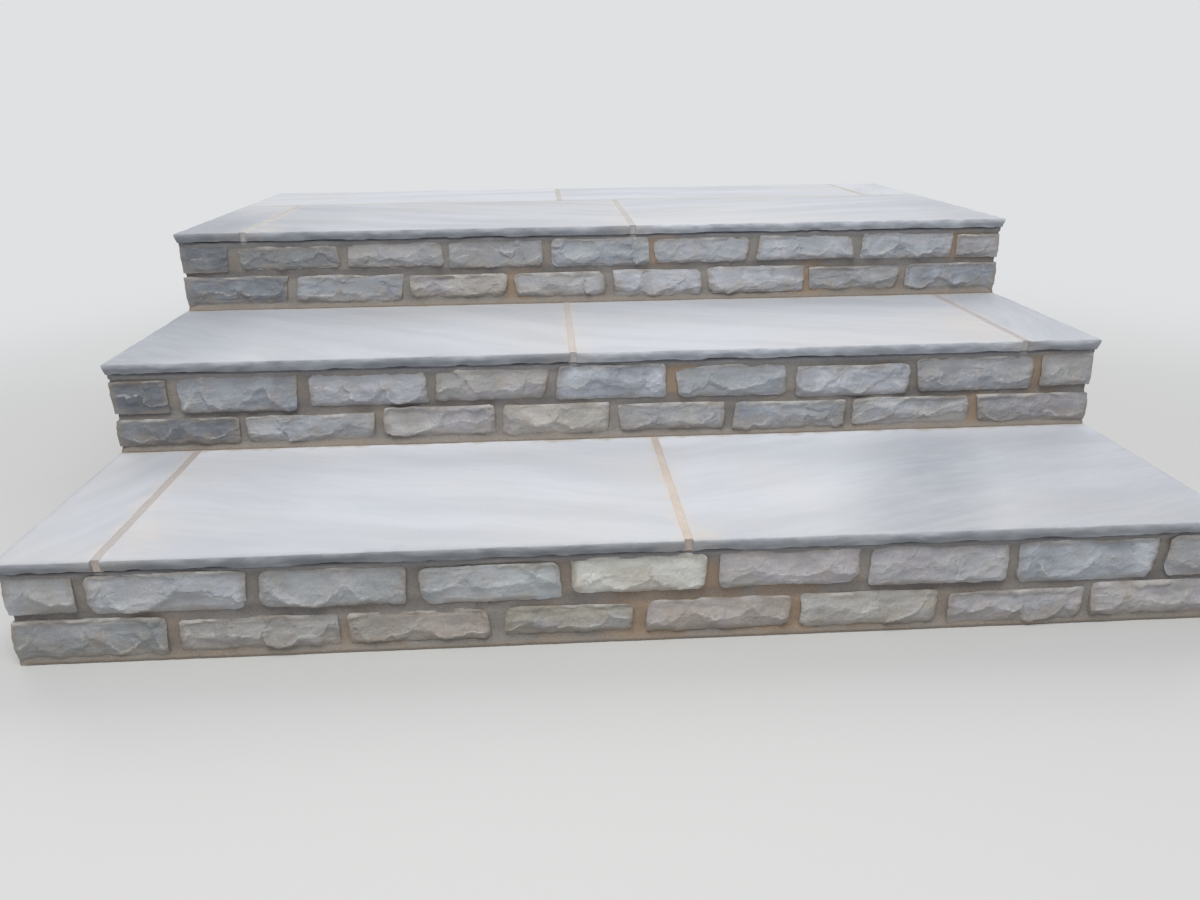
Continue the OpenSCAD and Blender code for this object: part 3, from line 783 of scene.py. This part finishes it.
# Each riser, its two courses from left to right: tones with how light (5 as named), joints in mm from
# the middle, and how many mm each stone's top and foot lie above the usual ones. Left and right are the end
# stones of its upper course, which belong to the side walls
# painted shade and light in the tones: the darkest tones at the left ends, such as d0, stand partly for a
# shrub's shade, and some upper-course tones, on the first riser most of all, are lifted against the shadow
# under the slabs
courseLook = [
    {
        "low": {"tones": "n2s3q4y3q5s6m6m7", "joints": (-735, -470, -225, 5, 260, 505, 750),
            "tops": (6, -1, -3, -2, -4, -2, -4, -4), "feet": (-3, -3, 7, 9, 6, 2, -6, -1)},
        "high": {"tones": "g7g5n8c9m8m6b9", "joints": (-864, -603, -355, -113, 122, 370, 616, 866),
            "tops": (2, 3, -5, 7, 8, 7, 4), "feet": (-3, -1, -6, 2, 0, -1, -12)},
        "left": {"tones": "g5", "tops": [5], "feet": [5]},
        "right": {"tones": "g6", "tops": [3], "feet": [-6]},
    },
    {
        "low": {"tones": "d0g5s5w7g3b3g6g3", "joints": (-738, -471, -232, -1, 234, 481, 742),
            "tops": (-3, -4, 5, 1, -4, -5, -1, -5), "feet": (3, 0, 2, 2, 4, -4, -2, -2)},
        "high": {"tones": "b2p3s4b9b5p5p3", "joints": (-862, -613, -362, -124, 116, 359, 610, 868),
            "tops": (-1, 2, 0, 1, -4, -8, 3), "feet": (-10, -4, -2, -7, -5, -13, -10)},
        "left": {"tones": "d0", "tops": [-3], "feet": [-12]},
        "right": {"tones": "g4", "tops": [2], "feet": [-5]},
    },
    {
        "low": {"tones": "d3b4w6g6p6p5g4d8", "joints": (-733, -463, -213, 25, 258, 508, 745),
            "tops": (7, 4, 0, -1, 4, 6, 2, 5), "feet": (1, 3, 7, 2, 1, 6, 4, 2)},
        "high": {"tones": "g0g4g3b6b6p6p5", "joints": (-858, -605, -365, -124, 127, 373, 630, 872),
            "tops": (0, 5, 6, 5, 2, 2, 5), "feet": (7, 6, 3, -2, 2, 4, -1)},
        "left": {"tones": "d0", "tops": [6], "feet": [3]},
        "right": {"tones": "g4", "tops": [-4], "feet": [3]},
    },
]
frontSet = {  # the slabs overhang the front further than the sides, so its stones stand further out
    "Proud": 0.0096, "Proud limit": 0.0118, "Deepest": 0.0004, "Corner face": 0.0040,
}
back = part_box("back_wall")
backCourses = []
usual = {"height": walling["height"], "usual": walling["length"]}
for step, look in enumerate(courseLook, 1):
    low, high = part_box(f"step{step}_front_wall")
    base, top = low.z + walling["baseBed"], low.z + upper
    across = {**usual, "length": high.x - low.x}
    deep = {**usual, "length": back[1].y - low.y}
    layWall(f"step{step}_front_stones", [f"step{step}_front_wall"], [
        {**across, **look["low"], "start": (low.x, low.y, base), "turn": 0, "closed": True, "fine": "all"},
        {**across, **look["high"], "start": (low.x, low.y, top), "turn": 0, "closed": False, "fine": "all"},
    ], stoneShelf, wallingStone, 100 + step, **frontSet)
    sideWalls = (
        ("left", low.x, back[1].y, leftTurn, "last", 200), ("right", high.x, low.y, rightTurn, "first", 300))
    for side, x, y, turn, fine, seed in sideWalls:
        layWall(f"step{step}_{side}_stones", [f"step{step}_{side}_wall"], [
            {**deep, "start": (x, y, base), "turn": turn, "closed": False},
            {**deep, **look[side], "start": (x, y, top), "turn": turn, "closed": True, "fine": fine},
        ], stoneShelf, wallingStone, seed + step)
    backCourses += [
        {**across, "start": (high.x, back[1].y, base), "turn": backTurn, "closed": True},
        {**across, "start": (high.x, back[1].y, top), "turn": backTurn, "closed": False},
    ]
layWall("back_wall_stones", ["back_wall"], backCourses, stoneShelf, wallingStone, 401)

levelling = {  # offcuts of slab: thin, with hardly any relief
    "Wobble": 0.0012, "Corner min": 0.002, "Corner max": 0.007, "Margin width": 0.004, "Margin depth": 0.002,
    "Scoop width": 0.045, "Scoop depth": 0.003, "Undercut": 0.002, "Facet depth": 0.003, "Flake depth": 0.001,
    "Cushion": 0.001, "Proud": 0.002, "Proud limit": 0.003, "Deepest": 0.0022,
}
for step in (1, 2):
    low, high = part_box(f"step{step}_left_levelling_course")
    z, thick = low.z + walling["slabBed"], walling["thickness"]
    thinCourse = {"height": walling["slab"], "usual": walling["levellerLength"]}
    long = {**thinCourse, "length": high.y - low.y + 2 * thick}
    sideWalls = (("left", leftTurn, low.x, high.y + thick), ("right", rightTurn, -low.x, low.y - thick))
    for side, turn, x, y in sideWalls:
        layWall(f"step{step}_{side}_levellers", [f"step{step}_{side}_levelling_course"],
            [{**long, "start": (x, y, z), "turn": turn, "closed": False}],
            thinShelf, levellingStone, 500 + step * 7 + len(side), "levelling_stone", **levelling)
    layWall(f"step{step}_back_levellers", ["back_wall"], [
        {**thinCourse, "start": (back[1].x, back[1].y, z), "turn": backTurn, "closed": True,
            "length": back[1].x - back[0].x}],
        thinShelf, levellingStone, 520 + step, "levelling_stone", **levelling)
print("walling stones and levelling courses")

# Mortar and pointing
mortar = {
    "back": 0.0060, "cornerBack": 0.0024, "frontBack": 0.0022,  # how far it lies behind the wall's face
    "cornerRun": 0.018, "cornerEnd": 0.045,  # how deep it stays fuller round the front corners
    "thick": 0.030, "cell": 0.0065, "foot": 0.0045, "top": 0.0050, "sink": 0.003, "rake": 0.0028,
    "Lumps": 0.0028, "Grit": 0.0010,
}


def roughStrip():
    # A strip of mortar swept along its joint, then roughened
    tree, add, given = newShape("Mortar strip", {
        "Joint": "Geometry", "Section": "Object", "Mortar": "Material", "Lumps": "Float", "Grit": "Float"})
    line = add("GeometryNodeMeshToCurve", {"Mesh": given["Joint"]})
    section = add("GeometryNodeObjectInfo", {"Object": given["Section"]}).outputs["Geometry"]
    outline = add("GeometryNodeMeshToCurve", {"Mesh": section})
    solid = add("GeometryNodeCurveToMesh", {"Curve": line, "Profile Curve": outline, "Fill Caps": True})
    where = add("GeometryNodeInputPosition")
    lumped = add("VectorMath SCALE", drift(add, where, 42.0, 3.0), given["Lumps"])  # 24 mm lumps
    gritty = add("VectorMath SCALE", drift(add, where, 150.0, 2.0), given["Grit"])  # 7 mm grit
    moved = add("VectorMath ADD", where, add("VectorMath ADD", lumped, gritty))
    moved = add("VectorMath MAXIMUM", moved, (-9, -9, 0))  # not into the ground
    roughened = add("GeometryNodeSetPosition", {"Geometry": solid, "Position": moved})
    whole = add("GeometryNodeRealizeInstances", roughened)
    add("NodeGroupOutput", add("GeometryNodeSetMaterial", {"Geometry": whole, "Material": given["Mortar"]}))
    return tree


stripTree = roughStrip()


def sectionOf(points):  # closed section: to the right of the path, then upwards
    mesh = bpy.data.meshes.new("section")
    count = len(points)
    mesh.from_pydata([(x, -z, 0) for x, z in points], [(i, (i + 1) % count) for i in range(count)], [])
    return bpy.data.objects.new("section", mesh)


def pathThrough(corners, closed, cell):  # points along straight runs
    points = []
    for a, b in zip(corners, corners[1:] + corners[:1] if closed else corners[1:]):
        a, b = Vector(a), Vector(b)
        count = max(1, round((b - a).length / cell))
        points += [a.lerp(b, k / count) for k in range(count)]
    if not closed:
        points.append(Vector(corners[-1]))
    edges = [(i, i + 1) for i in range(len(points) - 1)] + ([(len(points) - 1, 0)] if closed else [])
    return points, edges


def sweepStrip(name, lines, section, material, look, nodes):
    points, edges = [], []
    for linePoints, lineEdges in lines:
        edges += [(a + len(points), b + len(points)) for a, b in lineEdges]
        points += linePoints
    mesh = bpy.data.meshes.new(name)
    mesh.from_pydata(points, edges, [])
    piece = linked(name, mesh)
    sizes = {name: look[name] for name in ("Lumps", "Grit")}
    grow(piece, stripTree, {"Section": section, "Mortar": material, **sizes})
    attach(piece, "root")
    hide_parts(*nodes)
    return piece


def mortarSection(height, foot=0, top=0):  # foot, top: how far it swells out under the stones and the slabs
    rows = round(height / mortar["cell"])
    levels = [height * (1 - k / rows) for k in range(rows + 1)]
    rake = 0 if height < 0.1 else mortar["rake"]
    joint = walling["baseBed"] + walling["height"] + walling["bedJoint"] / 2
    outer = [(foot * smooth(1.6 - z / 0.011) + top * smooth(1.7 - (height - z) / 0.009)
        - rake * smooth(1.6 - abs(z - joint) / 0.010), z) for z in levels]
    return sectionOf([(-mortar["thick"], height)] + outer + [(-mortar["thick"], 0)])


for step in (1, 2, 3):
    low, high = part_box(f"step{step}_front_wall")
    foot = max(0.0, low.z - mortar["sink"])  # a little into the tread, so that no gap shows
    height = high.z - foot + walling["slabBed"] - 0.001
    m, c = mortar["back"], mortar["cornerBack"]  # fuller round the front corners, which are struck square
    front = low.y + mortar["frontBack"]
    run, end = front + mortar["cornerRun"], front + mortar["cornerEnd"]
    corners = [(low.x + c, front), (high.x - c, front), (high.x - c, run), (high.x - m, end),
        (high.x - m, back[1].y - m), (low.x + m, back[1].y - m), (low.x + m, end), (low.x + c, run)]
    ring = pathThrough([(x, y, foot) for x, y in corners], True, mortar["cell"])
    section = mortarSection(height, mortar["foot"], mortar["top"])
    sweepStrip(f"step{step}_wall_mortar", [ring], section, wallMortar, mortar,
        [f"step{step}_{side}_wall" for side in ("front", "left", "right")])
    if step < 3:
        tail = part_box(f"step{step}_left_levelling_course")
        m -= 0.001
        corners = [(high.x - m, tail[0].y), (high.x - m, back[1].y - m), (low.x + m, back[1].y - m),
            (low.x + m, tail[0].y)]
        ring = pathThrough([(x, y, tail[0].z - 0.004) for x, y in corners], False, mortar["cell"])
        section = mortarSection(tail[1].z - tail[0].z + 0.006)
        sweepStrip(f"step{step}_levelling_mortar", [ring], section, wallMortar, mortar,
            [f"step{step}_{side}_levelling_course" for side in ("left", "right")])
print("mortar")

# Slabs
slabForm = {
    "dressedStep": 0.004, "plainStep": 0.015, "grid": 0.028,
    "levels": (0, 0.002, 0.0045, 0.007, 0.0095, 0.012, 0.0145, 0.018, 0.022),  # rings down an edge
    "brow": 0.0050, "topBite": 0.0018, "lowBite": 0.0060, "wave": 0.0020,  # of the dressed edges
    "chip": 0.0062, "spall": 0.0055, "riven": 0.0014,
    "dressedFoot": 0.0145, "plainFoot": 0.0030,  # how far in from its edges a slab's underside begins
    "margin": 0.013, "jitter": 0.005,  # of the grid of points on top
    "crease": 0.75,  # edges whose faces' normals have less than this in common are sharp
}
slabs = [  # node, dressed edges, streaks in degrees, how much lighter its top, back (painted light) and edges are, seed
    ("step1_slab_narrow", "left front", 62, -0.12, 0.10, -0.18, 1),
    ("step1_slab_left", "front", -14, -0.02, 0.23, -0.21, 2),
    ("step1_slab_right", "front right", 17, 0.00, 0.29, -0.03, 3),
    ("step2_slab_left", "left front", -32, -0.09, 0.05, -0.15, 4),
    ("step2_slab_right", "front", -20, -0.07, 0.05, 0.18, 5),
    ("step2_slab_narrow", "front right", 80, -0.06, 0.03, -0.04, 6),
    ("step3_slab_narrow", "left front", 70, -0.14, 0.00, -0.22, 7),
    ("step3_slab_left", "front", -24, -0.16, 0.00, -0.10, 8),
    ("step3_slab_right", "front right", 12, -0.11, 0.00, 0.22, 9),
    ("landing_slab_left", "left back", 8, -0.03, 0.00, 0.00, 10),
    ("landing_slab_right", "back", -6, -0.06, 0.00, 0.00, 11),
    ("landing_slab_narrow", "right back", 75, -0.05, 0.00, 0.00, 12),
]
darkPatches = {  # darker patches, mostly painted shade of shrubs towards the steps' ends, and a blue-grey patch on step1_slab_right: centre, half size each way, lean in degrees, strength
    "step1_slab_right": [
        ((0.56, -0.74), (0.10, 0.18), 24, 0.98), ((0.55, -0.77), (0.15, 0.46), 24, 0.80),
        ((0.94, -0.74), (0.42, 0.60), 24, 0.54),
    ],
    "step1_slab_left": [((-0.72, -0.70), (0.20, 0.34), 0, 0.28)],
    "step2_slab_left": [((-0.62, -0.25), (0.26, 0.26), 0, 0.28), ((-1.02, -0.34), (0.30, 0.50), 0, 0.86)],
    "step2_slab_narrow": [((0.94, -0.30), (0.18, 0.50), 0, 0.40)],
    "step3_slab_narrow": [((-0.96, 0.05), (0.17, 0.40), 0, 0.90)],
    "step3_slab_left": [((-0.80, 0.10), (0.20, 0.50), 0, 0.34)],
    "step3_slab_right": [((0.96, 0.10), (0.14, 0.40), 0, 0.40)],
}
smears = {  # pointing mortar left on the slabs when it was brushed in, in the same form
    "step1_slab_right": [((0.090, -0.965), (0.050, 0.045), 0, 0.85), ((0.11, -0.60), (0.020, 0.20), 0, 0.35)],
    "step1_slab_left": [((-0.79, -0.90), (0.045, 0.10), -10, 0.60), ((-0.80, -0.62), (0.022, 0.12), 0, 0.45)],
    "step2_slab_right": [((0.775, -0.36), (0.060, 0.19), 6, 0.55), ((-0.055, -0.44), (0.025, 0.12), 0, 0.40)],
    "step3_slab_left": [((0.05, 0.10), (0.030, 0.20), 0, 0.35), ((-0.79, 0.03), (0.050, 0.080), 0, 0.60)],
}


def scarAt(s, number):  # the dressing scar at this place: how near its border, and how far down its brow
    cell = noise.voronoi(Vector((s * 24, number * 5.1, 0.3)), distance_metric="DISTANCE")[0]
    bowl = min(1.0, cell[0] * 2 / (cell[0] + cell[1]))  # 0 in the middle of a scar, 1 between two
    uneven = noise.noise(Vector((s * 31, number * 1.7, 6.0)))
    brow = slabForm["brow"] + 0.0040 * (0.5 - bowl) + 0.0030 * uneven
    return bowl, max(0.0015, brow)


def edgeBite(s, down, number):
    # How far a hammer-dressed edge is broken back: chipped at its arris, and falling back below its wavy brow
    bowl, brow = scarAt(s, number)
    slow = noise.noise(Vector((s * 9, number * 3.3, 1.0)))
    fine = 0.0004 * noise.fractal(Vector((s * 150, down * 190, number * 2.7)), 0.9, 2.0, 3)
    wave = slabForm["wave"] * (0.5 + slow)
    if down < brow:
        return max(0.0, wave + (1 - down / brow) * slabForm["topBite"] * (1.35 - 0.9 * bowl) + fine)
    share = ((down - brow) / (0.022 - brow)) ** 1.1
    return max(0.0, wave + share * slabForm["lowBite"] * (1.2 - 0.5 * bowl) + fine)


def spallAt(s, number):  # how far the lower arris of a dressed edge is broken up
    slow = noise.noise(Vector((s * 13, number * 4.3, 9.0)))
    quick = noise.noise(Vector((s * 47, number * 2.9, 5.0)))
    return slabForm["spall"] * max(0.0, 0.15 + slow + 0.4 * quick)


def patchesOn(points, patches):
    shares = [0.0] * len(points)
    for (middleX, middleY), (across, along), lean, strength in patches:
        leanX, leanY = math.sin(math.radians(lean)), math.cos(math.radians(lean))
        for i, p in enumerate(points):
            x, y = p.x - middleX, p.y - middleY
            away = math.hypot((x * leanY - y * leanX) / across, (x * leanX + y * leanY) / along)
            shares[i] = max(shares[i], strength * smooth(1.3 - away))
    return shares


def slabRim(sides, dressedEdges):
    # Places round a slab, each with the edges it lies on (outward direction, whether dressed, how far along),
    # and the numbers of those at its corners
    rim, starts = [], []
    for k, (a, b, out, side) in enumerate(sides):
        length = math.dist(a, b)
        hard = side in dressedEdges
        count = round(length / slabForm["dressedStep" if hard else "plainStep"])
        start, end, lastOut, lastSide = sides[k - 1]
        before = (lastOut, lastSide in dressedEdges, math.dist(start, end) + (k - 1) % 4 * 3)
        starts.append(len(rim))
        for i in range(count):
            x, y = a[0] + (b[0] - a[0]) * i / count, a[1] + (b[1] - a[1]) * i / count
            outs = [(out, hard, i / count * length + k * 3)]
            rim.append((x, y, outs + [before] if i == 0 else outs))
    return rim, starts


def biteAt(s, depth, hard, number):  # how far any edge falls back at this depth
    under = depth > slabForm["levels"][-1]
    if not hard:
        rough = 0.0006 + 0.0010 * (0.5 + noise.noise(Vector((s * 45, depth * 30, number * 1.9))))
        return slabForm["plainFoot"] if under else max(0.0, rough)
    chip = slabForm["chip"] * max(0.0, noise.noise(Vector((s * 38, number * 7.7, 4.0))) - 0.25) * 2
    return slabForm["dressedFoot"] if under else edgeBite(s, depth, number) + (chip if depth == 0 else 0.0)


def slabEdges(low, high, dressedEdges, number):  # rings of points from the top's rim down to the underside
    sides = [  # start, end, outward direction, name
        ((low.x, low.y), (high.x, low.y), (0, -1), "front"),
        ((high.x, low.y), (high.x, high.y), (1, 0), "right"),
        ((high.x, high.y), (low.x, high.y), (0, 1), "back"),
        ((low.x, high.y), (low.x, low.y), (-1, 0), "left"),
    ]
    rim, starts = slabRim(sides, dressedEdges)
    points, dressed, paintedShadeUnderBrow, rings = [], [], [], []
    bottom = slabForm["levels"][-1]
    for depth in slabForm["levels"] + (bottom + 0.001,):  # the last ring is part of the underside
        ring = range(len(points), len(points) + len(rim))
        for x, y, outs in rim:
            hard = any(h for out, h, s in outs)
            px, py, z = x, y, high.z - depth if depth < bottom else low.z
            for out, h, s in outs:
                bite = biteAt(s, depth, h, number)
                px -= out[0] * bite
                py -= out[1] * bite
            s = outs[0][2]
            if depth == 0:
                worn = 0.5 + noise.noise(Vector((x * 30, y * 30, number)))
                z -= 0.0004 + (0.0009 if hard else 0.0003) * worn
            if hard and depth <= bottom:
                z += spallAt(s, number) * smooth((depth - 0.008) / (bottom - 0.008))
            points.append(Vector((px, py, z)))
            dressed.append(0.0 if not hard else 0.35 if depth == 0 else 1.0)
            # painted shade: how far below its brow this ring of the edge lies
            paintedShadeUnderBrow.append(smooth(0.5 + (depth - scarAt(s, number)[1] - 0.006) / 0.014))
        for k, side in enumerate(sides):  # each side ends where the sides next to it fall back to
            axis = 0 if side[3] in ("front", "back") else 1
            first, last = starts[k], starts[(k + 1) % 4]
            near, far = sorted((points[ring[first]][axis], points[ring[last]][axis]))
            for i in ring[first + 1:last or len(rim)]:
                points[i][axis] = min(max(points[i][axis], near), far)
        rings.append(ring)
    return points, dressed, paintedShadeUnderBrow, rings


def slabTop(low, high, rim, points, number):  # faces of the riven top, and its points within the rim
    luck = random.Random(900 + number)
    form, inner, count = slabForm, [], len(rim)
    wide, deep, margin, jitter = high.x - low.x, high.y - low.y, form["margin"], form["jitter"]
    countX, countY = max(2, round(wide / form["grid"])), max(2, round(deep / form["grid"]))
    for i in range(countX):
        for j in range(countY):
            x = low.x + margin + (wide - 2 * margin) * i / (countX - 1)
            y = low.y + margin + (deep - 2 * margin) * j / (countY - 1)
            if 0 < i < countX - 1:
                x += luck.uniform(-jitter, jitter)
            if 0 < j < countY - 1:
                y += luck.uniform(-jitter, jitter)
            inner.append(Vector((x, y)))
    border = [(i, (i + 1) % count) for i in range(count)]
    result = delaunay_2d_cdt([points[i].xy for i in rim] + inner, border, [], 1, 1e-6)
    index = []
    for place, olds in zip(result[0], result[3]):
        if olds and olds[0] < count:
            index.append(rim[olds[0]])
            continue
        x, y = place
        waves = noise.fractal(Vector((x * 5, y * 5, number * 4.0)), 0.8, 2.1, 3)
        relief = form["riven"] * (0.5 + 0.5 * waves)
        index.append(len(points))
        points.append(Vector((x, y, high.z - min(form["riven"], max(0.0, relief)))))
    return [tuple(index[i] for i in face) for face in result[2]]


def jointGap(p, low, high, step, dressedEdges):  # metres to the nearest pointing
    near = [1.0]
    if "left" not in dressedEdges:
        near.append(p.x - low.x)
    if "right" not in dressedEdges:
        near.append(high.x - p.x)
    if step >= 3:
        near.append(high.y - p.y if step == 3 else p.y - low.y)
    return min(near)


def layRivenSlab(node, dressedEdges, angle, toneShift, paintedBackLift, edgeShift, number):
    low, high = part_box(node)
    points, dressed, paintedShadeUnderBrow, rings = slabEdges(low, high, dressedEdges, number)
    count = len(rings[0])
    faces = [(upper[i], lower[i], lower[(i + 1) % count], upper[(i + 1) % count])
        for upper, lower in zip(rings, rings[1:]) for i in range(count)]
    faces.append(list(reversed(rings[-1])))
    faces += slabTop(low, high, rings[0], points, number)
    mesh = bpy.data.meshes.new(node + "_riven")
    mesh.from_pydata(points, [], faces)
    inside = [0.0] * (len(points) - len(dressed))
    step = int(node[4]) if node.startswith("step") else 4
    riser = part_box(f"step{step + 1}_front_wall")[0].y if step < 3 else 9
    cos, sin = math.cos(math.radians(angle)), math.sin(math.radians(angle))
    storeOn(mesh, "bedding", "FLOAT_VECTOR",
        [(p.x * cos + p.y * sin, -p.x * sin + p.y * cos, p.z + number * 1.7) for p in points])
    rear = [(p.y - low.y) / (high.y - low.y) for p in points]
    lighter = [(r - 0.35) * (1 + 1.9 * smooth((r - 0.55) / 0.4)) for r in rear]  # painted light, most of all along the back, against the shade near the next riser
    marks = {
        "dressed": dressed + inside, "paintedShadeUnderBrow": paintedShadeUnderBrow + inside, "edgeTone": [edgeShift] * len(points),
        # painted light: the tone lifted towards the back
        "slabTone": [toneShift + paintedBackLift * share for share in lighter],
        "riserFoot": [min(1.0, riser - p.y) for p in points],
        "jointEdge": [jointGap(p, low, high, step, dressedEdges) for p in points],
        # mostly painted shade of shrubs at the steps' ends
        "paintedShadeAndPatch": patchesOn(points, darkPatches.get(node, [])),
        "mortarSmear": patchesOn(points, smears.get(node, [])),
    }
    for name, values in marks.items():
        storeOn(mesh, name, "FLOAT", values)
    mesh.materials.append(slabStone)
    normals = {}
    for polygon in mesh.polygons:
        polygon.use_smooth = True
        for key in polygon.edge_keys:
            normals.setdefault(key, []).append(polygon.normal.copy())
    pairs = [normals.get(e.key, []) for e in mesh.edges]
    sharp = mesh.attributes.new("sharp_edge", "BOOLEAN", "EDGE")
    sharp.data.foreach_set("value", [len(n) == 2 and n[0].dot(n[1]) < slabForm["crease"] for n in pairs])
    piece = linked(node + "_riven", mesh)
    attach(piece, "root")
    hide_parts(node)


for row in slabs:
    layRivenSlab(*row)
print("slabs")

# Pointing between the slabs
pointing = {
    "joint": 0.012, "cell": 0.005,
    "spread": 0.0030, "hollow": 0.0007,  # how far it laps over the slabs' arrises, and its dish
    "front": 0.003, "struck": 0.0045,  # where it begins, and how much is struck off with the slabs' edges
    "Lumps": 0.0007, "Grit": 0.0003,
}
for place in ("step1", "step2", "step3", "landing", "landing_long"):
    name = place + "_pointing"
    low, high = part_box(name)
    slab = ("step3" if "landing" in place else place) + "_slab_left"
    half = pointing["joint"] / 2 + pointing["spread"]
    if place == "landing_long":
        middle = (low.y + high.y) / 2
        runs = [[(low.x, middle, low.z), (high.x, middle, low.z)]]
    else:
        runs = [[(x, low.y + pointing["front"], low.z), (x, high.y, low.z)]
            for x in (low.x + pointing["joint"] / 2, high.x - pointing["joint"] / 2)]
    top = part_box(slab)[1].z - low.z - 0.0004
    bend, dished = top - 0.012, top - pointing["hollow"]
    section = sectionOf([(-half, bend), (-half, dished), (-half / 2, top), (0, top), (half / 2, top),
        (half, dished), (half, bend), (half, 0), (-half, 0)])
    mix = pointings.get(place, pointings["upper"])
    lines = [pathThrough(run, False, pointing["cell"]) for run in runs]
    piece = sweepStrip(name + "_mortar", lines, section, mix, pointing, [name])
    if place.startswith("step"):
        for point in piece.data.vertices:
            if point.co.y < low.y + pointing["struck"]:
                point.co.y = low.y + 0.0006 + edgeBite(0.2, max(0.0, low.z + top - point.co.z), 2)
print("pointing")

meshes = [o for o in bpy.context.scene.objects if o.type == "MESH"]
shown = [o for o in meshes if not o.hide_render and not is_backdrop(o)]
counts = {o.name: sum(len(p.vertices) - 2 for p in o.data.polygons) for o in shown}
print("triangles", sum(counts.values()), "largest", max(counts.items(), key=lambda c: c[1]))
